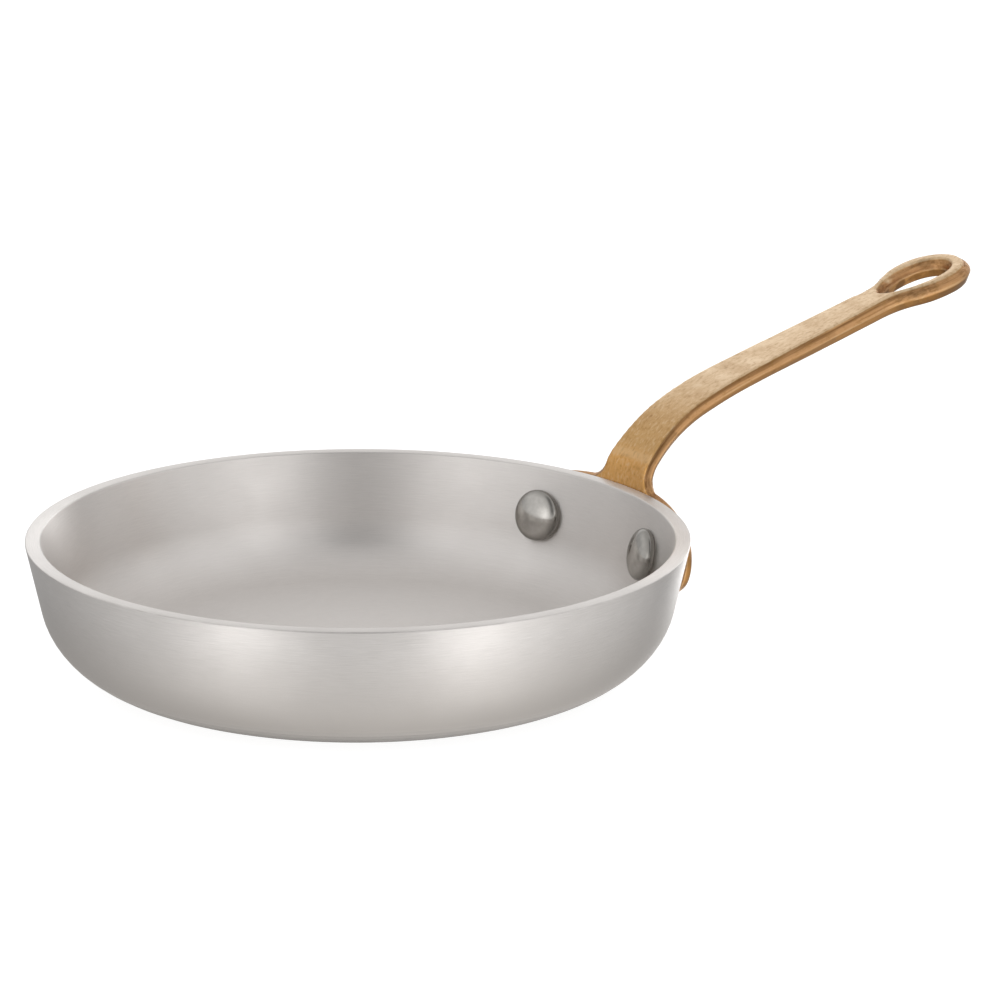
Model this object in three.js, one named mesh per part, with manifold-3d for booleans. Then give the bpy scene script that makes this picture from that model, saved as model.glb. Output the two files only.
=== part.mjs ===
// Small frying pan: a thick aluminium pan whose cast bronze handle is held by two solid rivets.
// Millimetres, +Z up. The origin is the centre of the base's underside, and the handle points along +X.

import * as THREE from 'three';
import { mergeVertices } from 'three/addons/utils/BufferGeometryUtils.js';
import Module from 'manifold-3d';

const { clamp, degToRad, lerp, smoothstep } = THREE.MathUtils;

// Pan: outer sizes, then the metal's thickness in the wall and in the floor
const rimRadius = 70;
const panHeight = 28.7;
const wallLean = degToRad(12.3);
const cornerRadius = 17.8;
const wallThickness = 3.2;
const floorThickness = 3.2;
const rimEase = 0.5;

// Clearance between pieces that touch on the real pan
const clearance = 0.3;

// Rivets: square to the wall, this far in from the flange's ends and, at the inner face, below the rim
const rivetMargin = 16.1;
const rivetDrop = 10.3;
const shankRadius = 3;
const headRadius = 5.7;
const headSkirt = 0.9;
const headRise = 2.2;
const tailRadius = 4.8;
const tailSkirt = 0.5;
const tailRise = 1.3;

// Flange: an ellipse drawn on the wall, with its centre a little above the rivets' line
const flangeHalfLength = 36.6;
const flangeHalfHeight = 9.8;
const flangeLift = 1.2;
const flangeThickness = 2.6;
const shoulderRadius = 4.5;

// Neck: above the rim the top face leaves the wall's line at the crease and swings out into the grip
const creaseRise = 4.6;
const creaseEase = 2.4;
const neckSlope = degToRad(50.5);
const neckPull = 13.4;
const neckHalfWidth = 6.8;
const neckLength = 22;
const neckFullness = 0.55;

// Grip: measured out from the rim and up from it to the place where the bend has run out
const gripReach = 42;
const gripRise = 25.4;
const gripSlope = degToRad(15.5);
const gripPull = 23.8;
const gripLength = 35.5;
const gripFootHalfWidth = 5.55;
const gripTopHalfWidth = 3.95;
const gripThickness = 3.6;

// Eye: the loop at the end, which levels out a little
const eyeLength = 21.4;
const eyeSlope = degToRad(13.6);
const eyeHalfWidth = 8.4;
const eyeRoundLength = 10;
const flareLength = 17.5;
const flareEase = 9;
const eyeThickness = 4.5;
const eyeEndWall = 2.8;
const eyeSideWall = 2.2;
const eyeHoleHalfLength = 10.7;
const eyeHoleEgg = 0.28;

// Casting: both faces draw in from a parting ridge, and their edges are tumbled soft
const partingRidge = 1.1;
const eyeRidge = 0.6;
const edgeSoftness = 0.3;
const faceCrown = 0.15;

// Fineness of the faceted surfaces
const panFacets = 84;
const rivetFacets = 24;
const arcSteps = 4;
const acrossSteps = 12;
const edgePower = 8;
const eyeFacets = 36;
const endAngle = degToRad(4);
const rowSpacing = 2.8;
const leastRows = 5;
const leastEdge = 0.01;
const weldDistance = 1e-4;
const leastRoll = 1e-3;

const quarterTurn = Math.PI / 2;
const wasm = await Module();
wasm.setup();

// Solids for cutting and joining

function solidOf(geometry) {
  const bare = geometry.clone();
  bare.deleteAttribute('normal');
  bare.deleteAttribute('uv');
  const merged = mergeVertices(bare, weldDistance);
  const mesh = new wasm.Mesh({
    numProp: 3,
    vertProperties: new Float32Array(merged.attributes.position.array),
    triVerts: new Uint32Array(merged.index.array),
  });
  mesh.merge();
  return new wasm.Manifold(mesh);
}

function geometryOf(solid) {
  const mesh = solid.getMesh();
  const geometry = new THREE.BufferGeometry();
  const position = new THREE.BufferAttribute(mesh.vertProperties, 3);
  geometry.setAttribute('position', position);
  geometry.setIndex(withoutSlivers(position, mesh.triVerts));
  geometry.computeVertexNormals();
  return geometry;
}

// Cutting leaves a few edges too short to see: each closes up to one corner, and its triangles go
function withoutSlivers(position, corners) {
  const kept = Array.from({ length: position.count }, (_, i) => i);
  const find = (i) => (kept[i] === i ? i : find(kept[i]));
  const place = (i) => new THREE.Vector3().fromBufferAttribute(position, i);
  const triangles = [];
  for (let i = 0; i < corners.length; i += 3) {
    triangles.push([corners[i], corners[i + 1], corners[i + 2]]);
  }
  for (const [a, b, c] of triangles) {
    for (const [from, to] of [[a, b], [b, c], [c, a]]) {
      if (place(from).distanceTo(place(to)) < leastEdge) kept[find(from)] = find(to);
    }
  }
  const closedUp = triangles.map((triangle) => triangle.map(find));
  return closedUp.filter(([a, b, c]) => a !== b && b !== c && c !== a).flat();
}

// A profile in (radius, height), from the axis round to the axis, turned about Z
function revolve(profile, facets) {
  const lathe = new THREE.LatheGeometry(profile.getPoints(arcSteps), facets);
  return lathe.rotateX(quarterTurn);
}

// Rings of equal length skinned into a closed body, with a point in the middle of each end
function loft(rings, startPoint, endPoint) {
  const count = rings[0].length;
  const points = [...rings.flat(), startPoint, endPoint];
  const start = points.length - 2;
  const end = points.length - 1;
  const last = (rings.length - 1) * count;
  const faces = [];
  for (let i = 0; i < count; i++) {
    const next = (i + 1) % count;
    for (let row = 0; row < last; row += count) {
      faces.push(row + i, row + next, row + count + next);
      faces.push(row + i, row + count + next, row + count + i);
    }
    faces.push(start, next, i);
    faces.push(end, last + i, last + next);
  }
  const geometry = new THREE.BufferGeometry().setFromPoints(points);
  geometry.setIndex(faces);
  return geometry;
}

// Pan section: a floor, a round corner and a straight wall, all set in from the outer surface

const wallNormal = new THREE.Vector2(Math.cos(wallLean), -Math.sin(wallLean));
const wallUp = new THREE.Vector2(Math.sin(wallLean), Math.cos(wallLean));
const rimEdge = new THREE.Vector2(rimRadius, panHeight);

function panSection(wallInset, floorHeight) {
  const radius = cornerRadius - wallInset;
  const centreHeight = floorHeight + radius;
  const wallDistance = rimEdge.dot(wallNormal) - wallInset;
  const centreRadius = (wallDistance - radius - centreHeight * wallNormal.y) / wallNormal.x;
  const wallAt = (height) => (wallDistance - height * wallNormal.y) / wallNormal.x;
  return { radius, centreHeight, centreRadius, floorHeight, wallAt };
}

// The bowl shape that a section encloses, up to the given height
function bowl(section, top) {
  const profile = new THREE.Path();
  profile.moveTo(0, section.floorHeight);
  profile.lineTo(section.centreRadius, section.floorHeight);
  profile.absarc(section.centreRadius, section.centreHeight, section.radius, -quarterTurn, -wallLean, false);
  profile.lineTo(section.wallAt(top), top);
  profile.lineTo(0, top);
  return solidOf(revolve(profile, panFacets));
}

const outer = panSection(0, 0);
const inner = panSection(wallThickness, floorThickness);
const seat = panSection(-clearance, -clearance);

function panBlank() {
  const innerEdge = new THREE.Vector2(inner.wallAt(panHeight), panHeight);
  const outerFoot = rimEdge.clone().addScaledVector(wallUp, -rimEase);
  const innerFoot = innerEdge.clone().addScaledVector(wallUp, -rimEase);
  const profile = new THREE.Path();
  profile.moveTo(0, 0);
  profile.lineTo(outer.centreRadius, 0);
  profile.absarc(outer.centreRadius, outer.centreHeight, outer.radius, -quarterTurn, -wallLean, false);
  profile.lineTo(outerFoot.x, outerFoot.y);
  profile.quadraticCurveTo(rimEdge.x, rimEdge.y, rimEdge.x - rimEase, panHeight);
  profile.lineTo(innerEdge.x + rimEase, panHeight);
  profile.quadraticCurveTo(innerEdge.x, innerEdge.y, innerFoot.x, innerFoot.y);
  profile.absarc(inner.centreRadius, inner.centreHeight, inner.radius, -wallLean, -quarterTurn, true);
  profile.lineTo(0, floorThickness);
  return solidOf(revolve(profile, panFacets));
}

// Rivets: lengths along the axis are measured outward from the inner face of the wall

const flangeOuterFace = wallThickness + clearance + flangeThickness;
const tailSeat = flangeOuterFace + clearance;
const tailEnd = tailSeat + tailSkirt + tailRise;
const rivetHeight = panHeight - rivetDrop;
const rivetSeat = new THREE.Vector3(inner.wallAt(rivetHeight), 0, rivetHeight);
const rivetOnFlange = rivetHeight + (wallThickness + clearance) * wallNormal.y;
const rivetAngle = (flangeHalfLength - rivetMargin) / seat.wallAt(rivetOnFlange);

// Turns a shape that was made about +Y onto the rivet's axis in the handle's own plane
function ontoRivetAxis(geometry) {
  geometry.rotateZ(-quarterTurn);
  geometry.rotateY(wallLean);
  return geometry.translate(rivetSeat.x, rivetSeat.y, rivetSeat.z);
}

function rod(radius, from, to) {
  const geometry = new THREE.CylinderGeometry(radius, radius, to - from, rivetFacets);
  return ontoRivetAxis(geometry.translate(0, (from + to) / 2, 0));
}

// A round head whose dome points along the given direction of the axis
function domedHead(radius, foot, skirt, rise, direction) {
  const ballRadius = (radius ** 2 + rise ** 2) / (2 * rise);
  const ballCentre = skirt + rise - ballRadius;
  const edgeAngle = Math.asin((skirt - ballCentre) / ballRadius);
  const profile = new THREE.Path();
  profile.moveTo(0, foot);
  profile.lineTo(radius, foot);
  profile.lineTo(radius, skirt);
  profile.absarc(0, ballCentre, ballRadius, edgeAngle, quarterTurn, false);
  const lathe = new THREE.LatheGeometry(profile.getPoints(arcSteps), rivetFacets);
  if (direction < 0) lathe.rotateX(2 * quarterTurn);
  return lathe;
}

function rivetGeometry() {
  const cavity = bowl(panSection(wallThickness + clearance, floorThickness + clearance), panHeight);
  const flangeReach = tailSeat - wallThickness;
  const flangeEnvelope = bowl(panSection(-flangeReach, -flangeReach), panHeight);
  const head = domedHead(headRadius, -wallThickness, headSkirt, headRise, -1);
  const tail = domedHead(tailRadius, -flangeThickness, tailSkirt, tailRise, 1).translate(0, tailSeat, 0);
  const seatedHead = solidOf(ontoRivetAxis(head)).intersect(cavity);
  const seatedTail = solidOf(ontoRivetAxis(tail)).subtract(flangeEnvelope);
  const shank = solidOf(rod(shankRadius, -headSkirt, tailSeat + tailSkirt));
  return geometryOf(seatedHead.add(shank).add(seatedTail));
}

// Straight holes for both rivets, long enough to pass right through wall and flange
function rivetHoles() {
  const hole = () => rod(shankRadius + clearance, -headRise, tailEnd);
  const left = solidOf(hole().rotateZ(rivetAngle));
  return left.add(solidOf(hole().rotateZ(-rivetAngle)));
}

// Handle spine: the middle of the top face, in (distance from the pan's axis, height)

const creaseHeight = panHeight + creaseRise;
const crease = new THREE.Vector2(seat.wallAt(creaseHeight), creaseHeight);
const gripStart = new THREE.Vector2(rimRadius + gripReach, panHeight + gripRise);

function along(point, slope, distance) {
  return new THREE.Vector2(Math.cos(slope), Math.sin(slope)).multiplyScalar(distance).add(point);
}

function makeSpine() {
  const creaseFoot = crease.clone().addScaledVector(wallUp, -creaseEase);
  const neckStart = along(crease, neckSlope, creaseEase);
  const neckHandle = along(neckStart, neckSlope, neckPull);
  const gripHandle = along(gripStart, gripSlope, -gripPull);
  const eyeStart = along(gripStart, gripSlope, gripLength);
  const eyeBend = along(eyeStart, gripSlope, eyeLength / 2);
  const tip = along(eyeBend, eyeSlope, eyeLength / 2);
  const path = new THREE.Path();
  path.absarc(seat.centreRadius, seat.centreHeight, seat.radius, -quarterTurn, -wallLean, false);
  path.lineTo(creaseFoot.x, creaseFoot.y);
  path.quadraticCurveTo(crease.x, crease.y, neckStart.x, neckStart.y);
  path.bezierCurveTo(neckHandle.x, neckHandle.y, gripHandle.x, gripHandle.y, gripStart.x, gripStart.y);
  path.lineTo(eyeStart.x, eyeStart.y);
  path.quadraticCurveTo(eyeBend.x, eyeBend.y, tip.x, tip.y);
  return path;
}

const spine = makeSpine();
const [cornerRun, wallRun, creaseRun, neckRun, gripRun] = spine.curves.map((curve) => curve.getLength());
const spineLength = spine.getLength();
const creaseEnd = cornerRun + wallRun + creaseRun;
const neckEnd = creaseEnd + neckLength;
const gripEnd = creaseEnd + neckRun + gripRun;
const cornerTop = seat.centreHeight + seat.radius * wallNormal.y;
const flangeCentre = cornerRun + (rivetOnFlange - cornerTop) / wallUp.y + flangeLift;

// The flange is rolled round the pan; above the crease the roll dies out
function roll(run) {
  return 1 - smoothstep(run, creaseEnd - creaseRun, neckEnd);
}

function thicknessAt(run) {
  const swelling = lerp(flangeThickness, gripThickness, smoothstep(run, creaseEnd - creaseRun, neckEnd));
  return lerp(swelling, eyeThickness, smoothstep(run, neckEnd, gripEnd));
}

// A point of the handle: across it, along its spine, and down from its top face
function formed(across, run, depth) {
  const onSpine = clamp(run, 0, spineLength);
  const forward = spine.getTangent(onSpine / spineLength);
  const middle = spine.getPoint(onSpine / spineLength).addScaledVector(forward, run - onSpine);
  const rollRadius = middle.x / Math.max(roll(run), leastRoll);
  const turn = across / rollRadius;
  const radius = rollRadius + depth * forward.y;
  const x = middle.x - rollRadius + radius * Math.cos(turn);
  return new THREE.Vector3(x, radius * Math.sin(turn), middle.y - depth * forward.x);
}

// Half of the handle's outline, drawn flat: (half width, run along the spine)
function halfOutline() {
  const shoulderFoot = neckHalfWidth + shoulderRadius;
  const shoulderAngle = Math.acos(shoulderFoot / flangeHalfLength);
  const shoulderRun = flangeCentre + flangeHalfHeight * Math.sin(shoulderAngle) + shoulderRadius;
  const eyeCentre = spineLength - eyeRoundLength;
  const flareStart = eyeCentre - flareLength;
  const path = new THREE.Path();
  path.absellipse(
    0, flangeCentre, flangeHalfLength, flangeHalfHeight, endAngle - quarterTurn, shoulderAngle, false,
  );
  path.absarc(shoulderFoot, shoulderRun, shoulderRadius, -quarterTurn, -2 * quarterTurn, true);
  const neckBelly = lerp(shoulderRun, neckEnd, neckFullness);
  path.quadraticCurveTo(gripFootHalfWidth, neckBelly, gripFootHalfWidth, neckEnd);
  path.lineTo(gripTopHalfWidth, flareStart);
  path.bezierCurveTo(
    gripTopHalfWidth, flareStart + flareEase, eyeHalfWidth, eyeCentre - flareEase, eyeHalfWidth, eyeCentre,
  );
  path.absellipse(0, eyeCentre, eyeHalfWidth, eyeRoundLength, 0, quarterTurn - endAngle, false);
  return path;
}

// One closed section of the handle: top face, ridge, underside and the other ridge
function sectionRing(edge, outward) {
  const thickness = thicknessAt(edge.y);
  const crown = faceCrown * (1 - roll(edge.y));
  const drop = (share) => crown * share ** 2 + edgeSoftness * Math.abs(share) ** edgePower;
  const shares = Array.from({ length: acrossSteps + 1 }, (_, i) => 1 - 2 * i / acrossSteps);
  const ridge = outward.clone().multiplyScalar(partingRidge).add(edge);
  const top = shares.map((share) => formed(share * edge.x, edge.y, drop(share)));
  const underside = shares.map((share) => formed(-share * edge.x, edge.y, thickness - drop(share)));
  const rightRidge = formed(-ridge.x, ridge.y, thickness / 2);
  const leftRidge = formed(ridge.x, ridge.y, thickness / 2);
  return [...top, rightRidge, ...underside, leftRidge];
}

function handleBlank() {
  const rings = [];
  for (const curve of halfOutline().curves) {
    const steps = Math.max(leastRows, Math.ceil(curve.getLength() / rowSpacing));
    for (let i = rings.length > 0 ? 1 : 0; i <= steps; i++) {
      const tangent = curve.getTangent(i / steps);
      rings.push(sectionRing(curve.getPoint(i / steps), new THREE.Vector2(tangent.y, -tangent.x)));
    }
  }
  const flangeFoot = flangeCentre - flangeHalfHeight - partingRidge;
  const footPoint = formed(0, flangeFoot, flangeThickness / 2);
  const tipPoint = formed(0, spineLength + partingRidge, eyeThickness / 2);
  return solidOf(loft(rings, footPoint, tipPoint));
}

// The eye's hole narrows to a lower ridge at half depth
function eyeCutter() {
  const halfWidth = eyeHalfWidth - eyeSideWall;
  const centre = spineLength - eyeEndWall - eyeHoleHalfLength;
  const ring = (depth, inset) => Array.from({ length: eyeFacets }, (_, i) => {
    const angle = 4 * quarterTurn * i / eyeFacets;
    const egg = 1 + eyeHoleEgg * Math.cos(angle);
    const across = (halfWidth - inset) * Math.sin(angle) * egg;
    return formed(across, centre + (eyeHoleHalfLength - inset) * Math.cos(angle), depth);
  });
  const ridgeDepth = eyeThickness / 2;
  const top = ridgeDepth - eyeThickness;
  const bottom = ridgeDepth + eyeThickness;
  const above = ring(top, -eyeRidge);
  const waist = ring(ridgeDepth, eyeRidge);
  const below = ring(bottom, -eyeRidge);
  const topPoint = formed(0, centre, top);
  const bottomPoint = formed(0, centre, bottom);
  return solidOf(loft([below, waist, above], bottomPoint, topPoint));
}

// Assembly

function piece(name, geometry, look) {
  const mesh = new THREE.Mesh(geometry, new THREE.MeshStandardMaterial(look));
  mesh.name = name;
  return mesh;
}

const satinAluminium = { color: 0xc6c4c0, roughness: 0.38, metalness: 1 };
const castBronze = { color: 0xbf8a4d, roughness: 0.45, metalness: 1 };
const satinSteel = { color: 0x9b9893, roughness: 0.3, metalness: 1 };

const pan = new THREE.Group();
const holes = rivetHoles();
pan.add(piece('pan_body', geometryOf(panBlank().subtract(holes)), satinAluminium));
pan.add(piece('handle', geometryOf(handleBlank().subtract(eyeCutter()).subtract(holes)), castBronze));
const rivet = rivetGeometry();
for (const [name, angle] of [['rivet_left', rivetAngle], ['rivet_right', -rivetAngle]]) {
  const mesh = piece(name, rivet.clone(), satinSteel);
  mesh.rotation.z = angle;
  pan.add(mesh);
}

export default pan;
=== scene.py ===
"""Looks of a small frying pan: a satin aluminium pan, a cast bronze handle and two steel rivets.

Lengths are in millimetres until a piece is finished, when its mesh is scaled to metres.
"""
from bisect import bisect_right
from math import acos, cos, pi, radians, sin, sqrt, tan

import bmesh
import bpy
from mathutils import Euler, Matrix, Vector, geometry, kdtree, noise


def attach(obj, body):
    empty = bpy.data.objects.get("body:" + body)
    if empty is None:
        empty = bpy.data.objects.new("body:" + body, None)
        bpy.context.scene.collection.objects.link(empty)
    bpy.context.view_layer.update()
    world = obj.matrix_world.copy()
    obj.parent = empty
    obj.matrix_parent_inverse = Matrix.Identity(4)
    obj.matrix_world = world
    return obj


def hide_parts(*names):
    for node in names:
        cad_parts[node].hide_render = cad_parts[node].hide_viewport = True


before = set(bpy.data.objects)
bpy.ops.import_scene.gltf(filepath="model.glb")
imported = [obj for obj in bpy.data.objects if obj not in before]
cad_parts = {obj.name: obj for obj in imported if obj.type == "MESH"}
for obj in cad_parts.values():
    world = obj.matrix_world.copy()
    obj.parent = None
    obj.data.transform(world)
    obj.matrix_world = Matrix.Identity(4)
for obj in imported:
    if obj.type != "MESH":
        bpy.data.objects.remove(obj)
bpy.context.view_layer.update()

MILLIMETRE = 0.001
MERGE_DISTANCE = 0.002
CUT_TOLERANCE = 0.001

# The pan: one pressed disc with a straight leaning wall.
RIM_RADIUS = 70
PAN_HEIGHT = 28.7
WALL_LEAN = radians(12.3)
OUTER_CORNER = 17.8
WALL = 3.2
RIM_EASE = 0.35
PAN_STEPS = 240
CORNER_STEPS = 14
EASE_STEPS = 3
CLEARANCE = 0.3

# The rivets: head inside the pan, tail outside the flange, square to the wall.
RIVET_MARGIN = 16.1
RIVET_DROP = 10.3
SHANK_RADIUS = 3
HEAD_RADIUS = 5.7
HEAD_SKIRT = 0.9
HEAD_RISE = 2.2
HEAD_EASE = 0.35
TAIL_RADIUS = 4.8
TAIL_SKIRT = 0.5
TAIL_RISE = 1.3
RIVET_STEPS = 64
DOME_STEPS = 12

# The handle: a flat outline, thickened and bent along its spine. First the flange.
FLANGE_HALF_LENGTH = 36.6
FLANGE_HALF_HEIGHT = 9.8
FLANGE_LIFT = 1.2
FLANGE_THICKNESS = 2.6
SHOULDER_RADIUS = 4.5
# The crease above the rim, and the neck.
CREASE_RISE = 4.6
CREASE_EASE = 2.4
NECK_SLOPE = radians(50.5)
NECK_PULL = 13.4
NECK_HALF_WIDTH = 6.8
NECK_LENGTH = 22
NECK_FULLNESS = 0.55
# The grip: where it starts past and above the rim, and its own sizes.
GRIP_REACH = 42
GRIP_RISE = 25.4
GRIP_SLOPE = radians(15.5)
GRIP_PULL = 23.8
GRIP_LENGTH = 35.5
GRIP_FOOT_HALF_WIDTH = 5.55
GRIP_TOP_HALF_WIDTH = 3.95
GRIP_THICKNESS = 3.6
# The hanging eye, and the flare that leads to it.
EYE_LENGTH = 21.4
EYE_SLOPE = radians(13.6)
EYE_HALF_WIDTH = 8.4
EYE_ROUND_LENGTH = 10
FLARE_LENGTH = 17.5
FLARE_EASE = 9
EYE_THICKNESS = 4.5
# The eye's hole, nearer to the real one than the solid's is: 0.8 mm narrower at each side, 0.6 mm shorter at its
# outer end and 0.2 mm shorter at its inner end.
EYE_END_WALL = 3.4
EYE_SIDE_WALL = 3.0
EYE_HOLE_HALF_LENGTH = 10.3
EYE_HOLE_EGG = 0.2
EYE_HOLE_MARGIN = 0.2
# The parting ridge, the rounded edges and the crown of the top face.
PARTING_RIDGE = 1.1
EYE_RIDGE = 0.6
EYE_EDGE_EASE = 0.6
CROWN_WIDTH = 0.8
GRIP_CROWN = 0.12
EYE_CROWN = 0.6
RIDGE_EASE = 0.18
RIDGE_STEPS = 2
EDGE_EASE = 0.25
EDGE_STEPS = 4
# The flat blank, how finely it is drawn and cut, and the slight waves of a casting.
BLANK_THICKNESS = 4
CURVE_STEPS = 28
EYE_STEPS = 40
CUT_SPACING = 1.0
CUTS_ACROSS = (1, 2, 3, 4, 5.5, 7, 9, 12, 16, 20, 24, 28, 32, 35)
LEAST_ROLL = 0.001
CAST_WAVE = 7
CAST_WAVE_HEIGHT = 0.05

# Camera and floor: places in millimetres, turns in degrees.
CAMERA_PLACE = (-453.46, -672.28, 261.09)
CAMERA_TURN = (74.4906, -0.4405, -35.9774)
CAMERA_LENS = 144
CAMERA_SENSOR = 36
CAMERA_AZIMUTH = -124
FLOOR_RADIUS = 60000
FLOOR_STEPS = 64
FLOOR_DROP = 0.05
FLOOR_GLOW = 0.88

# Strength of the light at eye level, by degrees round from the camera to its right.
EYE_LEVEL_LIGHT = (
    (-180, 0.45), (-150, 0.5), (-120, 0.65), (-95, 0.88), (-72, 1.1), (-58, 1.45), (-47, 1.85), (-36, 1.5),
    (-22, 1.15), (-5, 1.06), (10, 1.08), (25, 1.22), (34, 1.6), (42, 2.2), (54, 1.65), (68, 1.33),
    (85, 1.12), (105, 0.93), (130, 0.72), (150, 0.58), (180, 0.45))
BRIGHTEST = 2.5
UPPER_LIGHT = 0.95
STRIP_DARKNESS = 0.6
BACKDROP_LIGHT = 1.1
# The softboxes lean together: their places close in by this much from below the horizon to a little above it.
SOFTBOX_LEAN = 1.16
SOFTBOX_HEIGHTS = (-0.6, 0.2)
# Where each part of the light begins and is full, on the unit vector towards it: its height, its way aside from
# the camera's plane, and its way towards the camera.
UPPER_LIGHT_HEIGHTS = (0.2, 0.6)
STRIP_HEIGHTS = (0.1, 0.45)
STRIP_ASIDE = (0.4, 0.05)
STRIP_TOWARDS_CAMERA = (-0.1, 0.35)
BACKDROP_HEIGHTS = (0, 0.28)
BACKDROP_TOWARDS_CAMERA = (-0.72, -1)


def linear(hex_colour):
    """An sRGB hex colour as linear red, green, blue and alpha."""
    channels = [int(hex_colour[i:i + 2], 16) / 255 for i in (1, 3, 5)]
    return [c / 12.92 if c <= 0.04045 else ((c + 0.055) / 1.055) ** 2.4 for c in channels] + [1]


def add(tree, kind, inputs=(), **settings):
    """A shader node with its settings; an input that is a socket is linked, any other value is set."""
    made = tree.nodes.new(kind)
    for name, value in settings.items():
        setattr(made, name, value)
    for key, value in dict(inputs).items():
        if isinstance(value, bpy.types.NodeSocket):
            tree.links.new(value, made.inputs[key])
        else:
            made.inputs[key].default_value = value
    return made


def new_finish(name):
    """A material and its empty node tree."""
    finish = bpy.data.materials.new(name)
    finish.use_nodes = True
    finish.node_tree.nodes.clear()
    return finish, finish.node_tree


def per_millimetre(size):
    """Scale of a pattern on Object coordinates whose features are this many millimetres apart."""
    return 1 / (size * MILLIMETRE)


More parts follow.
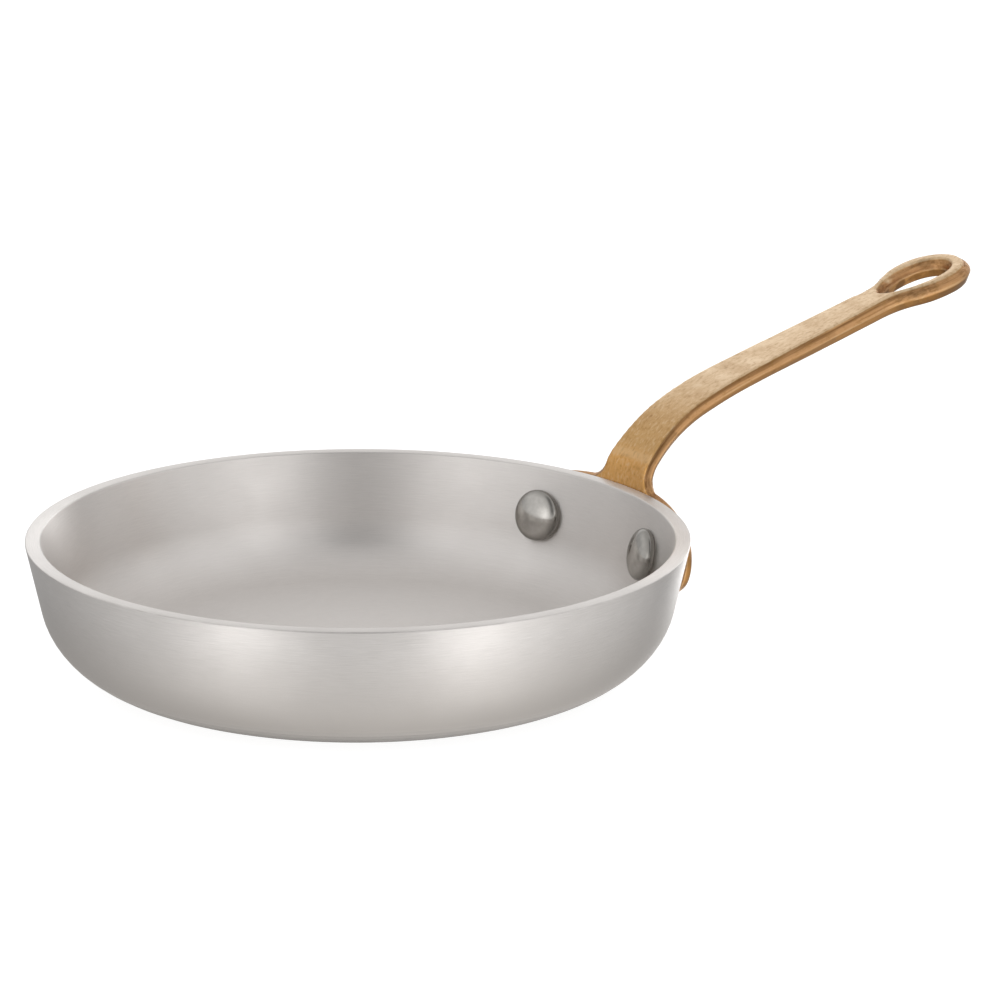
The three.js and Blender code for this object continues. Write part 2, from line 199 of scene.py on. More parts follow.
def brushed_aluminium():
    """Pressed aluminium, brushed round its axis: soft satin gleams drawn up and down the wall."""
    finish, tree = new_finish("brushed_aluminium")
    # Brush lines are about 0.1 mm apart; they are drawn three times as coarse so that they show.
    streak_width = 0.35
    streaks_round = 16
    cloud_size = 14
    place = add(tree, "ShaderNodeTexCoord").outputs["Object"]
    flat = add(tree, "ShaderNodeVectorMath", {0: place, 1: (1, 1, 0)}, operation="MULTIPLY").outputs["Vector"]
    round_axis = add(tree, "ShaderNodeVectorMath", {0: flat}, operation="NORMALIZE").outputs["Vector"]
    radius = add(tree, "ShaderNodeVectorMath", {0: flat}, operation="LENGTH").outputs["Value"]
    height = add(tree, "ShaderNodeSeparateXYZ", {0: place}).outputs["Z"]
    profile = add(tree, "ShaderNodeMath", {0: radius, 1: height}, operation="ADD").outputs[0]
    track = add(tree, "ShaderNodeMath", {0: profile, 1: per_millimetre(streak_width)}, operation="MULTIPLY")
    streaks = add(tree, "ShaderNodeTexNoise", {
        "Vector": round_axis, "W": track.outputs[0], "Scale": streaks_round, "Detail": 3, "Roughness": 0.6},
        noise_dimensions="4D").outputs["Fac"]
    clouds = add(tree, "ShaderNodeTexNoise", {"Vector": place, "Scale": per_millimetre(cloud_size), "Detail": 3})
    tone = add(tree, "ShaderNodeMapRange", {0: streaks, 1: 0.32, 2: 0.68, 3: 0, 4: 1}).outputs[0]
    bright = add(tree, "ShaderNodeMix", {0: tone, 6: linear("#B9B5B1"), 7: linear("#DFDBD8")}, data_type="RGBA")
    # The outside is rougher near the base, dulled by the hob, and is painted darker there: painted shade standing
    # for the shadowed floor that it mirrors.
    normal = add(tree, "ShaderNodeNewGeometry").outputs["True Normal"]
    lean = add(tree, "ShaderNodeSeparateXYZ", {0: normal}).outputs["Z"]
    outside = add(tree, "ShaderNodeMapRange", {0: lean, 1: -0.1, 2: -0.2, 3: 0, 4: 1}).outputs[0]
    low = add(tree, "ShaderNodeMapRange", {
        0: height, 1: 6 * MILLIMETRE, 2: 25 * MILLIMETRE, 3: 1, 4: 0}).outputs[0]
    shade_and_dulling_near_base = add(tree, "ShaderNodeMath", {0: outside, 1: low}, operation="MULTIPLY").outputs[0]
    # Painted shade: the outer colour darkens towards the base.
    outer = add(tree, "ShaderNodeMix", {
        0: shade_and_dulling_near_base, 6: bright.outputs[2], 7: linear("#B4AFAA")}, data_type="RGBA").outputs[2]
    # The inside is painted lighter, partly for its scouring and partly as painted light standing for light bounced
    # round inside the pan; its flat floor is scratched all ways.
    mouth = wall_radius(PAN_HEIGHT, WALL) * MILLIMETRE
    within = add(tree, "ShaderNodeMath", {0: radius, 1: mouth}, operation="LESS_THAN").outputs[0]
    facing_up = add(tree, "ShaderNodeMapRange", {0: lean, 1: -0.1, 2: 0.1, 3: 0, 4: 1}).outputs[0]
    inside = add(tree, "ShaderNodeMath", {0: facing_up, 1: within}, operation="MULTIPLY").outputs[0]
    level = add(tree, "ShaderNodeMapRange", {0: lean, 1: 0.6, 2: 0.98, 3: 0, 4: 1}).outputs[0]
    scratched = add(tree, "ShaderNodeMath", {0: level, 1: inside}, operation="MULTIPLY").outputs[0]
    scoured_and_bounce_lit = add(tree, "ShaderNodeMath", {0: inside, 1: 0.38}, operation="MULTIPLY").outputs[0]
    inner = add(tree, "ShaderNodeMix", {0: scoured_and_bounce_lit, 6: outer, 7: linear("#EFEBE8")}, data_type="RGBA").outputs[2]
    # Painted shade: a dark grey, less metallic ring round the base's edge, standing for the contact shadow there.
    toward_base = add(tree, "ShaderNodeMapRange", {0: lean, 1: -0.72, 2: -0.9, 3: 0, 4: 1}).outputs[0]
    off_base = add(tree, "ShaderNodeMapRange", {0: lean, 1: -0.998, 2: -0.985, 3: 0, 4: 0.85}).outputs[0]
    painted_base_edge_shade = add(tree, "ShaderNodeMath", {0: toward_base, 1: off_base}, operation="MULTIPLY").outputs[0]
    metal = add(tree, "ShaderNodeMath", {0: 1, 1: painted_base_edge_shade}, operation="SUBTRACT").outputs[0]
    colour = add(tree, "ShaderNodeMix", {0: painted_base_edge_shade, 6: inner, 7: linear("#6E6A66")}, data_type="RGBA").outputs[2]
    # Worn metal is rougher and has lost most of its brush lines.
    dullness = add(tree, "ShaderNodeMapRange", {0: clouds.outputs["Fac"], 1: 0.3, 2: 0.7, 3: 0.32, 4: 0.38})
    grained = add(tree, "ShaderNodeMath", {0: tone, 1: 0.1, 2: dullness.outputs[0]}, operation="MULTIPLY_ADD")
    worn = add(tree, "ShaderNodeMath", {0: shade_and_dulling_near_base, 1: scratched}, operation="MAXIMUM").outputs[0]
    rough = add(tree, "ShaderNodeMath", {0: worn, 1: 0.3, 2: grained.outputs[0]}, operation="MULTIPLY_ADD")
    brushed = add(tree, "ShaderNodeMapRange", {0: worn, 1: 0, 2: 1, 3: 0.9, 4: 0.3}).outputs[0]
    bump = add(tree, "ShaderNodeBump", {"Height": streaks, "Strength": 0.35, "Distance": 0.02 * MILLIMETRE})
    tangent = add(tree, "ShaderNodeTangent", direction_type="RADIAL", axis="Z")
    shader = add(tree, "ShaderNodeBsdfPrincipled", {
        "Base Color": colour, "Metallic": metal, "Roughness": rough.outputs[0], "Normal": bump.outputs[0],
        "Anisotropic": brushed, "Anisotropic Rotation": 0.25, "Tangent": tangent.outputs[0]})
    add(tree, "ShaderNodeOutputMaterial", {"Surface": shader.outputs[0]})
    return finish


def tumbled_bronze():
    """Cast bronze, tumbled: flecked and pale where hands rub the top, brown and drawn lengthwise on the sides.
    Some of its light and shade is painted: painted highlights along the parting ridge, the crease and in the eye's
    hole, and painted shade under the top edge, on the lower half, on the neck's top and in the eye's hole.

    The handle's "blank" attribute holds a point's run, across and height on the flat blank, in millimetres. Its
    "eye" attribute rises from 0 on the grip to 1 at the eye, and "bore" is 1 on the wall of the eye's hole.
    """
    finish, tree = new_finish("tumbled_cast_bronze")
    # Flecks, grinding streaks and casting pits, measured along the run, across and through the blank.
    fleck_size = (1.5, 0.8, 0.8)
    streak_size = (20, 0.9, 0.4)
    pit_size = (2.4, 1.4, 1.4)
    cloud_size = 6
    place = add(tree, "ShaderNodeTexCoord").outputs["Object"]
    blank = add(tree, "ShaderNodeAttribute", attribute_name="blank").outputs["Vector"]
    eye = add(tree, "ShaderNodeAttribute", attribute_name="eye").outputs["Fac"]
    bore = add(tree, "ShaderNodeAttribute", attribute_name="bore").outputs["Fac"]
    blank_axes = add(tree, "ShaderNodeSeparateXYZ", {0: blank}).outputs
    run, height = blank_axes["X"], blank_axes["Z"]
    fleck_place, streak_place, pit_place = [
        add(tree, "ShaderNodeVectorMath", {0: blank, 1: size}, operation="DIVIDE").outputs["Vector"]
        for size in (fleck_size, streak_size, pit_size)]
    flecks = add(tree, "ShaderNodeTexNoise", {
        "Vector": fleck_place, "Scale": 1, "Detail": 3, "Roughness": 0.7}).outputs["Fac"]
    streaks = add(tree, "ShaderNodeTexNoise", {
        "Vector": streak_place, "Scale": 1, "Detail": 3, "Roughness": 0.6}).outputs["Fac"]
    clouds = add(tree, "ShaderNodeTexNoise", {
        "Vector": place, "Scale": per_millimetre(cloud_size), "Detail": 3}).outputs["Fac"]
    cells = add(tree, "ShaderNodeTexVoronoi", {"Vector": pit_place, "Scale": 1, "Randomness": 1}).outputs
    # Each mask rises smoothly from nothing at its first value to full strength at its second.
    masks = {"bore": bore}
    for name, value, nothing, full, strength in (
            ("top", height, -0.5, -0.2, 1),
            ("side", height, -0.2, -0.5, 1),
            ("below_top_edge", height, -0.2, -0.45, 1),
            ("upper_side", height, -1.2, -0.7, 1),
            ("ridge_from", height, -1.55, -1.85, 1),
            ("ridge_to", height, -2.45, -2.15, 1),
            ("lower_half", height, -1.9, -2.5, 1),
            ("above_back", height, -3.9, -3.5, 1),
            ("past_crease", run, 44, 50, 1),
            ("on_grip", run, 50, 76, 1),
            ("crease_from", run, 45, 46.2, 1),
            ("crease_to", run, 48.2, 47, 1),
            ("on_eye", eye, 0, 0.6, 1),
            ("off_bore", bore, 1, 0, 0.85),
            ("dark_flecks", flecks, 0.5, 0.68, 0.4),
            ("pale_flecks", flecks, 0.5, 0.32, 0.35),
            ("crease_flecks", flecks, 0.3, 0.6, 0.5),
            ("edge_shade_streaks", streaks, 0.3, 0.56, 1),
            ("edge_streaks", streaks, 0.45, 0.7, 0.6),
            ("ridge_streaks", streaks, 0.42, 0.6, 0.5),
            ("dark_clouds", clouds, 0.5, 0.68, 0.18),
            ("pale_clouds", clouds, 0.5, 0.34, 0.25),
            # Painted shade and painted gleams on the wall of the eye's hole, standing for what it mirrors.
            ("bore_painted_shade", clouds, 0.46, 0.56, 0.7),
            ("bore_painted_gleam", clouds, 0.42, 0.3, 0.6),
            ("pit_width", cells["Color"], 0.55, 0.95, 0.3)):
        masks[name] = add(tree, "ShaderNodeMapRange", {0: value, 1: nothing, 2: full, 3: 0, 4: strength},
                          interpolation_type="SMOOTHSTEP").outputs[0]
    # How strong the painted shade under the top edge is: strong at the neck, fainter towards the eye.
    masks["edge_shade_depth"] = add(tree, "ShaderNodeMapRange", {0: eye, 1: 0, 2: 1, 3: 0.75, 4: 0.3}).outputs[0]
    pits = add(tree, "ShaderNodeMapRange", {
        0: cells["Distance"], 1: 0, 2: masks["pit_width"], 3: 1, 4: 0}).outputs[0]
    masks["pit_grime"] = add(tree, "ShaderNodeMath", {0: pits, 1: 0.5}, operation="MULTIPLY").outputs[0]
    # Colours laid one over another, each where all its masks meet, over the orange metal below the crease.
    colour = linear("#D8A564")
    for tint, *where in (
            ("#B98E63", "side"),
            # Painted shade: the top past the crease is darker, most on the neck, where less light reaches it.
            ("#C19A66", "top", "past_crease"),
            ("#CFB491", "top", "on_grip"),
            # A painted highlight: a pale line along the crease.
            ("#DDBE92", "top", "crease_from", "crease_to", "crease_flecks"),
            # Painted shade: the lower half of the sides is darker, for the shadowed floor it mirrors, most of all
            # round the eye.
            ("#AC7E4A", "lower_half"),
            ("#7A5730", "lower_half", "on_eye", "off_bore"),
            # Painted shade: a dark, streaked band just under the top edge.
            ("#6A4826", "below_top_edge", "upper_side", "edge_shade_depth", "edge_shade_streaks"),
            ("#7F5A35", "side", "above_back", "edge_streaks"),
            # A painted highlight along the parting ridge.
            ("#D8B588", "ridge_from", "ridge_to", "ridge_streaks"),
            ("#A67E4E", "dark_clouds"),
            ("#E8D2B4", "top", "on_grip", "pale_clouds"),
            ("#96703F", "dark_flecks"),
            ("#E4CDAE", "top", "pale_flecks"),
            # Painted reflection in the eye's hole: dark painted shade and pale painted gleams.
            ("#5E3F20", "side", "bore", "lower_half", "bore_painted_shade"),
            ("#E6D0AC", "side", "bore", "bore_painted_gleam"),
            ("#6B4A28", "pit_grime")):
        share = masks[where[0]]
        for name in where[1:]:
            share = add(tree, "ShaderNodeMath", {0: share, 1: masks[name]}, operation="MULTIPLY").outputs[0]
        colour = add(tree, "ShaderNodeMix", {0: share, 6: colour, 7: linear(tint)}, data_type="RGBA").outputs[2]
    dullness = add(tree, "ShaderNodeMapRange", {0: clouds, 1: 0.3, 2: 0.7, 3: 0.32, 4: 0.42}).outputs[0]
    rough = add(tree, "ShaderNodeMath", {0: flecks, 1: 0.1, 2: dullness}, operation="MULTIPLY_ADD").outputs[0]
    # Streaks stand out on the ground sides, flecks everywhere, and pits sink in.
    edge = add(tree, "ShaderNodeMath", {0: masks["side"], 1: masks["above_back"]}, operation="MULTIPLY").outputs[0]
    relief = add(tree, "ShaderNodeMath", {0: streaks, 1: edge, 2: flecks}, operation="MULTIPLY_ADD").outputs[0]
    sunk = add(tree, "ShaderNodeMath", {0: relief, 1: pits}, operation="SUBTRACT").outputs[0]
    bump = add(tree, "ShaderNodeBump", {"Height": sunk, "Strength": 0.4, "Distance": 0.06 * MILLIMETRE})
    shader = add(tree, "ShaderNodeBsdfPrincipled", {
        "Base Color": colour, "Metallic": 1, "Roughness": rough, "Normal": bump.outputs[0]})
    add(tree, "ShaderNodeOutputMaterial", {"Surface": shader.outputs[0]})
    return finish


def satin_steel():
    """Headed steel, tumbled: a soft gleam in the middle of each dome, faint random scuffs and painted shade at the
    edge.
    """
    finish, tree = new_finish("tumbled_steel")
    scuff_size = 0.9
    place = add(tree, "ShaderNodeTexCoord").outputs["Object"]
    scuffs = add(tree, "ShaderNodeTexNoise", {
        "Vector": place, "Scale": per_millimetre(scuff_size), "Detail": 5}).outputs["Fac"]
    steel = add(tree, "ShaderNodeMix", {0: scuffs, 6: linear("#A8A5A0"), 7: linear("#BFBCB7")}, data_type="RGBA")
    reach = add(tree, "ShaderNodeAttribute", attribute_name="reach").outputs["Fac"]
    # Painted shade: each head darkens towards its edge.
    edge = add(tree, "ShaderNodeMapRange", {0: reach, 1: HEAD_RADIUS * 0.7, 2: HEAD_RADIUS, 3: 0, 4: 0.7},
               interpolation_type="SMOOTHSTEP").outputs[0]
    colour = add(tree, "ShaderNodeMix", {0: edge, 6: steel.outputs[2], 7: linear("#6F6C67")}, data_type="RGBA")
    rough = add(tree, "ShaderNodeMapRange", {0: scuffs, 1: 0.3, 2: 0.7, 3: 0.12, 4: 0.19}).outputs[0]
    bump = add(tree, "ShaderNodeBump", {"Height": scuffs, "Strength": 0.2, "Distance": 0.03 * MILLIMETRE})
    shader = add(tree, "ShaderNodeBsdfPrincipled", {
        "Base Color": colour.outputs[2], "Metallic": 1, "Roughness": rough, "Normal": bump.outputs[0]})
    add(tree, "ShaderNodeOutputMaterial", {"Surface": shader.outputs[0]})
    return finish


def finish_piece(bm, name, finish):
    """The bmesh as a smooth object at the origin, in metres, that replaces the CAD node of the same name."""
    bmesh.ops.remove_doubles(bm, verts=bm.verts, dist=MERGE_DISTANCE)
    bmesh.ops.recalc_face_normals(bm, faces=bm.faces)
    bmesh.ops.scale(bm, vec=Vector((1, 1, 1)) * MILLIMETRE, verts=bm.verts)
    for face in bm.faces:
        face.smooth = True
    mesh = bpy.data.meshes.new(name + "_looks")
    bm.to_mesh(mesh)
    bm.free()
    mesh.materials.append(finish)
    piece = bpy.data.objects.new(name + "_looks", mesh)
    bpy.context.scene.collection.objects.link(piece)
    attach(piece, "root")
    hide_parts(name)
    return piece


def wire(bm, points):
    """An open line of edges through the points."""
    verts = [bm.verts.new(point) for point in points]
    for start, end in zip(verts, verts[1:]):
        bm.edges.new((start, end))
    return verts


def round_corner(bm, corner, offset, segments):
    """Round one corner of a line, starting this far from it."""
    bmesh.ops.bevel(bm, geom=[corner], offset=offset, offset_type="OFFSET", segments=segments, profile=0.5,
                    affect="VERTICES", material=-1)


def turn_on_lathe(bm, steps):
    """Spin the line in the bmesh once round the Z axis."""
    bmesh.ops.spin(bm, geom=bm.verts[:] + bm.edges[:], cent=(0, 0, 0), axis=(0, 0, 1), angle=2 * pi,
                   steps=steps, use_merge=True)


def wall_radius(height, inset=0):
    """Radius of the pan's wall at a height, measured this far inside its outer face."""
    return RIM_RADIUS - (PAN_HEIGHT - height) * tan(WALL_LEAN) - inset / cos(WALL_LEAN)


def make_pan(finish):
    """Turned from its section: flat base, round corner, leaning wall and flat rim."""
    bm = bmesh.new()
    line = wire(bm, [
        (0, 0, 0), (wall_radius(0), 0, 0), (RIM_RADIUS, 0, PAN_HEIGHT),
        (wall_radius(PAN_HEIGHT, WALL), 0, PAN_HEIGHT), (wall_radius(WALL, WALL), 0, WALL), (0, 0, WALL)])
    _, outer_foot, outer_rim, inner_rim, inner_foot, _ = line
    reach = tan((pi / 2 - WALL_LEAN) / 2)
    round_corner(bm, outer_foot, OUTER_CORNER * reach, CORNER_STEPS)
    round_corner(bm, inner_foot, (OUTER_CORNER - WALL) * reach, CORNER_STEPS)
    round_corner(bm, outer_rim, RIM_EASE, EASE_STEPS)
    round_corner(bm, inner_rim, RIM_EASE, EASE_STEPS)
    turn_on_lathe(bm, PAN_STEPS)
    return finish_piece(bm, "pan_body", finish)


RIVET_HEIGHT = PAN_HEIGHT - RIVET_DROP
RIVET_SEAT = wall_radius(RIVET_HEIGHT, WALL)
RIVET_ON_FLANGE = RIVET_HEIGHT - (WALL + CLEARANCE) * sin(WALL_LEAN)


def make_rivet(name, angle, finish):
    """Turned upright, its head up, then laid square to the wall with the head inside the pan."""
    bm = bmesh.new()
    grip = WALL + CLEARANCE + FLANGE_THICKNESS
    dome = [(HEAD_RADIUS * sin(a), 0, HEAD_SKIRT + HEAD_RISE * cos(a))
            for a in [pi / 2 * step / DOME_STEPS for step in range(DOME_STEPS + 1)]]
    tail = [(TAIL_RADIUS * sin(a), 0, -grip - TAIL_SKIRT - TAIL_RISE * cos(a))
            for a in [pi / 2 * (1 - step / DOME_STEPS) for step in range(DOME_STEPS + 1)]]
    line = wire(bm, dome + [(HEAD_RADIUS, 0, 0), (SHANK_RADIUS, 0, 0), (SHANK_RADIUS, 0, -grip),
                            (TAIL_RADIUS, 0, -grip)] + tail)
    round_corner(bm, line[DOME_STEPS + 1], HEAD_EASE, EASE_STEPS)
    turn_on_lathe(bm, RIVET_STEPS)
    reach = bm.verts.layers.float.new("reach")
    for vert in bm.verts:
        vert[reach] = vert.co.xy.length
    square_to_wall = Matrix.Rotation(-pi / 2 + WALL_LEAN, 4, "Y")
    seat = Matrix.Translation((RIVET_SEAT, 0, RIVET_HEIGHT))
    beside_handle = Matrix.Rotation(angle, 4, "Z")
    bmesh.ops.transform(bm, matrix=beside_handle @ seat @ square_to_wall, verts=bm.verts)
    return finish_piece(bm, name, finish)


def arc(centre, radii, start, stop, steps):
    """Points on an ellipse from one angle to another."""
    angles = [start + (stop - start) * step / steps for step in range(steps + 1)]
    return [Vector((centre[0] + radii[0] * cos(a), centre[1] + radii[1] * sin(a))) for a in angles]


def bezier(start, first, second, end, steps):
    """Points on a cubic curve."""
    return geometry.interpolate_bezier(Vector(start), Vector(first), Vector(second), Vector(end), steps + 1)


def bent(start, corner, end, steps):
    """A curve that leaves start and reaches end along the lines to one corner."""
    return bezier(start, Vector(start).lerp(corner, 2 / 3), Vector(end).lerp(corner, 2 / 3), end, steps)


def smoothstep(value, low, high):
    """A soft rise from 0 at low to 1 at high."""
    share = min(max((value - low) / (high - low), 0), 1)
    return share * share * (3 - 2 * share)


class Spine:
    """The handle's line in the plane of the pan's axis: up the wall, over the neck, along the grip to the tip."""

    def __init__(self):
        up = Vector((sin(WALL_LEAN), cos(WALL_LEAN)))
        radius = OUTER_CORNER + CLEARANCE
        centre = Vector((wall_radius(0) - OUTER_CORNER * tan((pi / 2 - WALL_LEAN) / 2), OUTER_CORNER))
        crease_height = PAN_HEIGHT + CREASE_RISE
        crease = Vector((wall_radius(crease_height, -CLEARANCE), crease_height))
        along_neck, along_grip, along_eye = [
            Vector((cos(slope), sin(slope))) for slope in (NECK_SLOPE, GRIP_SLOPE, EYE_SLOPE)]
        foot = crease - CREASE_EASE * up
        neck = crease + CREASE_EASE * along_neck
        grip = Vector((RIM_RADIUS + GRIP_REACH, PAN_HEIGHT + GRIP_RISE))
        eye = grip + GRIP_LENGTH * along_grip
        eye_bend = eye + EYE_LENGTH / 2 * along_grip
        tip = eye_bend + EYE_LENGTH / 2 * along_eye
        stretches = [
            arc(centre, (radius, radius), -pi / 2, -WALL_LEAN, CURVE_STEPS * 2),
            [foot],
            bent(foot, crease, neck, CURVE_STEPS)[1:],
            bezier(neck, neck + NECK_PULL * along_neck, grip - GRIP_PULL * along_grip, grip, CURVE_STEPS * 4)[1:],
            [eye],
            bent(eye, eye_bend, tip, CURVE_STEPS)[1:],
        ]
        self.points, self.runs, ends = [], [0.0], []
        for stretch in stretches:
            for point in stretch:
                if self.points:
                    self.runs.append(self.runs[-1] + (Vector(point) - self.points[-1]).length)
                self.points.append(Vector(point))
            ends.append(self.runs[-1])
        corner_end, self.crease_start, crease_end, _, self.grip_end, self.length = ends
        self.neck_end = crease_end + NECK_LENGTH
        self.eye_middle = self.length - EYE_END_WALL - EYE_HOLE_HALF_LENGTH
        corner_top = centre.y - radius * sin(WALL_LEAN)
        self.flange_centre = corner_end + (RIVET_ON_FLANGE - corner_top) / up.y + FLANGE_LIFT
        before = self.points[:1] + self.points[:-1]
        after = self.points[1:] + self.points[-1:]
        self.forwards = [(end - start).normalized() for start, end in zip(before, after)]

    def at(self, run):
        """The spine's point and direction after this run, carried straight on past its ends."""
        i = min(max(bisect_right(self.runs, run) - 1, 0), len(self.runs) - 2)
        share = (run - self.runs[i]) / (self.runs[i + 1] - self.runs[i])
        inside = min(max(share, 0), 1)
        forward = self.forwards[i].lerp(self.forwards[i + 1], inside).normalized()
        return self.points[i].lerp(self.points[i + 1], share), forward

    def eye_half_width(self, run):
        """Half the width of the eye's hole after this run."""
        share = min(max((run - self.eye_middle) / EYE_HOLE_HALF_LENGTH, -1), 1)
        return (EYE_HALF_WIDTH - EYE_SIDE_WALL) * sqrt(1 - share * share) * (1 + EYE_HOLE_EGG * share)

    def in_eye(self, point, near=EYE_HOLE_MARGIN):
        """Whether a point of the flat blank lies on the wall of the eye's hole."""
        return (abs(point.x - self.eye_middle) < EYE_HOLE_HALF_LENGTH + near
                and abs(point.y) < self.eye_half_width(point.x) + near)

    def thickness(self, run):
        """How thick the handle is after this run: thin at the flange, thickest at the eye."""
        neck = smoothstep(run, self.crease_start, self.neck_end)
        thick = FLANGE_THICKNESS + (GRIP_THICKNESS - FLANGE_THICKNESS) * neck
        return thick + (EYE_THICKNESS - thick) * smoothstep(run, self.neck_end, self.grip_end)

    def formed(self, run, across, depth):
        """Where a point of the flat blank goes: rolled round the pan at the flange, flat across at the grip."""
        middle, forward = self.at(run)
        roll = 1 - smoothstep(run, self.crease_start, self.neck_end)
        roll_radius = middle.x / max(roll, LEAST_ROLL)
        turn = across / roll_radius
        radius = roll_radius + depth * forward.y
        centre = middle.x - roll_radius
        return Vector((centre + radius * cos(turn), radius * sin(turn), middle.y - depth * forward.x))


def half_outline(spine):
    """One side of the flat blank from the flange's lower edge to the tip, as points (run, across)."""
    foot = NECK_HALF_WIDTH + SHOULDER_RADIUS
    shoulder_angle = acos(foot / FLANGE_HALF_LENGTH)
    shoulder_run = spine.flange_centre + FLANGE_HALF_HEIGHT * sin(shoulder_angle) + SHOULDER_RADIUS
    eye_centre = spine.length - EYE_ROUND_LENGTH
    flare_start = eye_centre - FLARE_LENGTH
    flange = [(run, across) for across, run in
              arc((0, spine.flange_centre), (FLANGE_HALF_LENGTH, FLANGE_HALF_HEIGHT), -pi / 2, shoulder_angle,
                  CURVE_STEPS * 3)]
    shoulder = [(run, across) for across, run in
                arc((foot, shoulder_run), (SHOULDER_RADIUS, SHOULDER_RADIUS), -pi / 2, -pi, CURVE_STEPS // 2)]
    belly = shoulder_run + (spine.neck_end - shoulder_run) * NECK_FULLNESS
    neck = bent((shoulder_run, NECK_HALF_WIDTH), Vector((belly, GRIP_FOOT_HALF_WIDTH)),
                (spine.neck_end, GRIP_FOOT_HALF_WIDTH), CURVE_STEPS // 2)
    flare = bezier((flare_start, GRIP_TOP_HALF_WIDTH), (flare_start + FLARE_EASE, GRIP_TOP_HALF_WIDTH),
                   (eye_centre - FLARE_EASE, EYE_HALF_WIDTH), (eye_centre, EYE_HALF_WIDTH), CURVE_STEPS)
    tip = [(run, across) for across, run in
           arc((0, eye_centre), (EYE_HALF_WIDTH, EYE_ROUND_LENGTH), 0, pi / 2, CURVE_STEPS)]
    return flange + shoulder[1:] + [tuple(p) for p in neck[1:]] + [tuple(p) for p in flare] + tip[1:]


def half_eye_hole(spine):
    """One side of the eye's egg-shaped hole, from its outer end to its inner end, as points (run, across)."""
    runs = [spine.eye_middle + EYE_HOLE_HALF_LENGTH * cos(pi * step / EYE_STEPS) for step in range(EYE_STEPS + 1)]
    return [(run, spine.eye_half_width(run)) for run in runs]


def make_handle(finish):
    """Cut flat from its outline, given a thickness, a ridge, round edges and a crown, and bent along its spine."""
    spine = Spine()
    bm = bmesh.new()
    half = half_outline(spine) + half_eye_hole(spine)
    bm.faces.new([bm.verts.new((run, across, 0)) for run, across in half])
    bmesh.ops.mirror(bm, geom=bm.verts[:] + bm.edges[:] + bm.faces[:], axis="Y", merge_dist=CUT_TOLERANCE)
    bmesh.ops.recalc_face_normals(bm, faces=bm.faces)
    rim_points = kdtree.KDTree(len(bm.verts))
    for index, vert in enumerate(bm.verts):
        rim_points.insert(vert.co, index)
    rim_points.balance()

    # A plate with its parting line at half depth, pushed out into a ridge.
    bmesh.ops.inset_region(bm, faces=bm.faces[:], thickness=CROWN_WIDTH, use_boundary=True, use_even_offset=True)
    raised = bmesh.ops.extrude_face_region(bm, geom=bm.faces[:])["geom"]
    bmesh.ops.translate(bm, vec=(0, 0, -BLANK_THICKNESS),
                        verts=[part for part in raised if isinstance(part, bmesh.types.BMVert)])
    bmesh.ops.recalc_face_normals(bm, faces=bm.faces)
    rims = [edge for edge in bm.edges
            if sorted(abs(face.normal.z) > 0.5 for face in edge.link_faces) == [False, True]]
    half_way = BLANK_THICKNESS / 2
    eye_rims = [edge for edge in rims
                if all(spine.in_eye(vert.co) and vert.co.z > -half_way for vert in edge.verts)]
    other_rims = [edge for edge in rims if edge not in eye_rims]
    uprights = [edge for edge in bm.edges if abs(edge.verts[0].co.z - edge.verts[1].co.z) > half_way]
    halved = bmesh.ops.subdivide_edges(bm, edges=uprights, cuts=1, use_grid_fill=True)["geom_inner"]
    bm.normal_update()
    parting = [part for part in halved if isinstance(part, bmesh.types.BMVert)]
    for vert in parting:
        vert.co += vert.normal * (EYE_RIDGE if spine.in_eye(vert.co) else PARTING_RIDGE)
    middle = set(parting)
    ridge = [edge for edge in bm.edges if set(edge.verts) <= middle]
    for edges, ease, steps in ((ridge, RIDGE_EASE, RIDGE_STEPS), (other_rims, EDGE_EASE, EDGE_STEPS),
                               (eye_rims, EYE_EDGE_EASE, EDGE_STEPS)):
        bmesh.ops.bevel(bm, geom=[edge for edge in edges if edge.is_valid], offset=ease, offset_type="OFFSET",
                        segments=steps, profile=0.5, affect="EDGES", clamp_overlap=True, material=-1)

    # Cuts along and across, so that the plate can bend.
    first_cut = spine.flange_centre - FLANGE_HALF_HEIGHT + CUT_SPACING / 2
    runs = [first_cut + CUT_SPACING * step for step in range(int(spine.length))]
    cuts = [((run, 0, 0), (1, 0, 0)) for run in runs if run < spine.length]
    cuts += [((0, side * across, 0), (0, 1, 0)) for across in CUTS_ACROSS for side in (1, -1)]
    for place, normal in cuts:
        bmesh.ops.bisect_plane(bm, geom=bm.verts[:] + bm.edges[:] + bm.faces[:], dist=CUT_TOLERANCE,
                               plane_co=place, plane_no=normal)

    # The crown lowers the upper half towards the outlines, most round the eye; then the plate is bent.
    blank = bm.verts.layers.float_vector.new("blank")
    bore = bm.verts.layers.float.new("bore")
    eye = bm.verts.layers.float.new("eye")
    for vert in bm.verts:
        run, across, height = vert.co
        vert[bore] = spine.in_eye(vert.co, CROWN_WIDTH)
        vert[eye] = smoothstep(run, spine.eye_middle - FLARE_LENGTH, spine.eye_middle)
        inset = rim_points.find((run, across, 0))[2]
        crown = GRIP_CROWN + (EYE_CROWN - GRIP_CROWN) * vert[eye]
        above_half = max(height + half_way, 0) / half_way
        height -= above_half * crown * (1 - smoothstep(inset, 0, CROWN_WIDTH))
        vert[blank] = (run, across, height)
        vert.co = spine.formed(run, across, -height / BLANK_THICKNESS * spine.thickness(run))
    bm.normal_update()
    for vert in bm.verts:
        vert.co += vert.normal * CAST_WAVE_HEIGHT * noise.noise(vert.co / CAST_WAVE)
    return finish_piece(bm, "handle", finish)


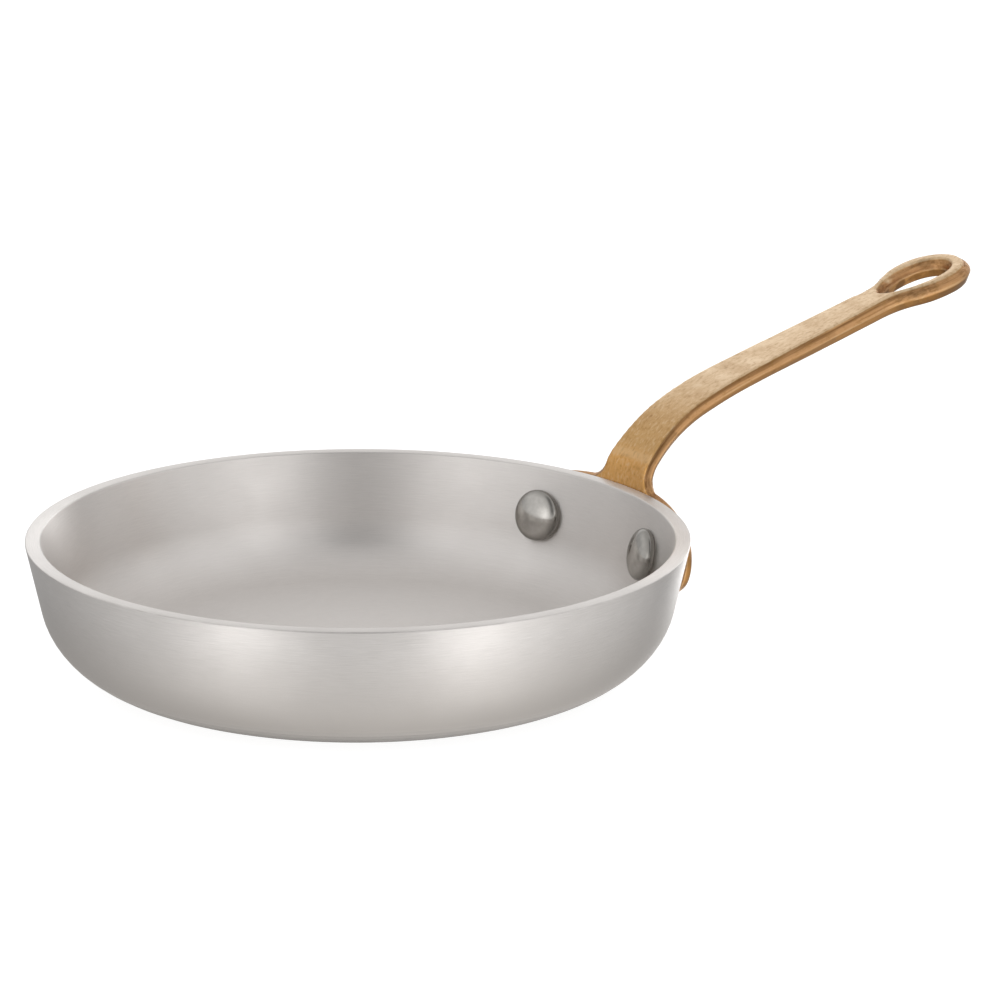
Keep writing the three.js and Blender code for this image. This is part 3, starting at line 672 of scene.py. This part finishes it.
def make_floor():
    """A wide sheet of matt white paper that glows a little, so that it stays white behind the pan."""
    bm = bmesh.new()
    bmesh.ops.create_circle(bm, cap_ends=True, segments=FLOOR_STEPS, radius=FLOOR_RADIUS * MILLIMETRE,
                            matrix=Matrix.Translation((0, 0, -FLOOR_DROP * MILLIMETRE)))
    mesh = bpy.data.meshes.new("floor")
    bm.to_mesh(mesh)
    bm.free()
    floor = bpy.data.objects.new("floor", mesh)
    bpy.context.scene.collection.objects.link(floor)
    finish, tree = new_finish("white_paper")
    shader = add(tree, "ShaderNodeBsdfPrincipled", {
        "Base Color": linear("#9A9A9A"), "Roughness": 0.9, "Specular IOR Level": 0.1,
        "Emission Color": linear("#FFFFFF"), "Emission Strength": FLOOR_GLOW})
    add(tree, "ShaderNodeOutputMaterial", {"Surface": shader.outputs[0]})
    mesh.materials.append(finish)
    # The metal mirrors the studio round it, not the sheet it stands on.
    floor.visible_glossy = False


def make_studio():
    """Soft light from all round: tall softboxes left and right of the camera, a bright backdrop behind the pan."""
    world = bpy.data.worlds.new("studio")
    bpy.context.scene.world = world
    world.use_nodes = True
    tree = world.node_tree
    tree.nodes.clear()
    toward = add(tree, "ShaderNodeTexCoord").outputs["Generated"]
    height = add(tree, "ShaderNodeSeparateXYZ", {0: toward}).outputs["Z"]
    to_camera, to_right = [
        add(tree, "ShaderNodeVectorMath", {0: toward, 1: (cos(radians(azimuth)), sin(radians(azimuth)), 0)},
            operation="DOT_PRODUCT").outputs["Value"]
        for azimuth in (CAMERA_AZIMUTH, CAMERA_AZIMUTH + 90)]
    aside = add(tree, "ShaderNodeMath", {0: to_right}, operation="ABSOLUTE").outputs[0]
    # Eye level: one ramp of strengths all the way round.
    turn = add(tree, "ShaderNodeMath", {0: to_right, 1: to_camera}, operation="ARCTAN2").outputs[0]
    low, high = SOFTBOX_HEIGHTS
    spread = add(tree, "ShaderNodeMapRange", {0: height, 1: low, 2: high, 3: 1, 4: SOFTBOX_LEAN}).outputs[0]
    leaning = add(tree, "ShaderNodeMath", {0: turn, 1: spread}, operation="MULTIPLY").outputs[0]
    round_room = add(tree, "ShaderNodeMapRange", {0: leaning, 1: -pi, 2: pi, 3: 0, 4: 1}).outputs[0]
    ramp = add(tree, "ShaderNodeValToRGB", {0: round_room})
    ramp.color_ramp.interpolation = "CARDINAL"
    for stop, (azimuth, strength) in enumerate(EYE_LEVEL_LIGHT):
        at = 0.5 + azimuth / 360
        mark = ramp.color_ramp.elements[0] if stop == 0 else ramp.color_ramp.elements.new(at)
        mark.position = at
        mark.color = [strength / BRIGHTEST] * 3 + [1]
    eye_level = add(tree, "ShaderNodeMath", {
        0: ramp.outputs["Color"], 1: BRIGHTEST}, operation="MULTIPLY").outputs[0]
    # Even light from above, but none from a strip above the camera, and the backdrop behind.
    rising, strip, strip_top, in_front, backdrop, behind = [
        add(tree, "ShaderNodeMapRange", {0: value, 1: begins, 2: full, 3: 0, 4: strength},
            interpolation_type="SMOOTHSTEP").outputs[0]
        for value, (begins, full), strength in (
            (height, UPPER_LIGHT_HEIGHTS, 1),
            (aside, STRIP_ASIDE, STRIP_DARKNESS),
            (height, STRIP_HEIGHTS, 1),
            (to_camera, STRIP_TOWARDS_CAMERA, 1),
            (height, BACKDROP_HEIGHTS, BACKDROP_LIGHT),
            (to_camera, BACKDROP_TOWARDS_CAMERA, 1))]
    bright = add(tree, "ShaderNodeMix", {0: rising, 2: eye_level, 3: UPPER_LIGHT}, data_type="FLOAT").outputs[0]
    above_camera = add(tree, "ShaderNodeMath", {0: strip, 1: strip_top}, operation="MULTIPLY").outputs[0]
    gap = add(tree, "ShaderNodeMath", {0: above_camera, 1: in_front}, operation="MULTIPLY").outputs[0]
    room = add(tree, "ShaderNodeMath", {0: bright, 1: gap}, operation="SUBTRACT").outputs[0]
    strength = add(tree, "ShaderNodeMath", {0: behind, 1: backdrop, 2: room}, operation="MULTIPLY_ADD").outputs[0]
    light = add(tree, "ShaderNodeBackground", {"Color": linear("#FFFFFF"), "Strength": strength})
    add(tree, "ShaderNodeOutputWorld", {"Surface": light.outputs[0]})


def make_camera():
    """A long lens, as far off and as high as in the photograph."""
    camera = bpy.data.objects.new("camera", bpy.data.cameras.new("camera"))
    camera.data.lens = CAMERA_LENS
    camera.data.sensor_width = CAMERA_SENSOR
    camera.location = Vector(CAMERA_PLACE) * MILLIMETRE
    camera.rotation_euler = Euler([radians(angle) for angle in CAMERA_TURN])
    bpy.context.scene.collection.objects.link(camera)
    bpy.context.scene.camera = camera


make_camera()
make_studio()
make_floor()
bpy.context.scene.view_settings.view_transform = "Standard"

make_pan(brushed_aluminium())
make_handle(tumbled_bronze())
rivet_angle = (FLANGE_HALF_LENGTH - RIVET_MARGIN) / wall_radius(RIVET_ON_FLANGE, -CLEARANCE)
steel = satin_steel()
make_rivet("rivet_left", rivet_angle, steel)
make_rivet("rivet_right", -rivet_angle, steel)
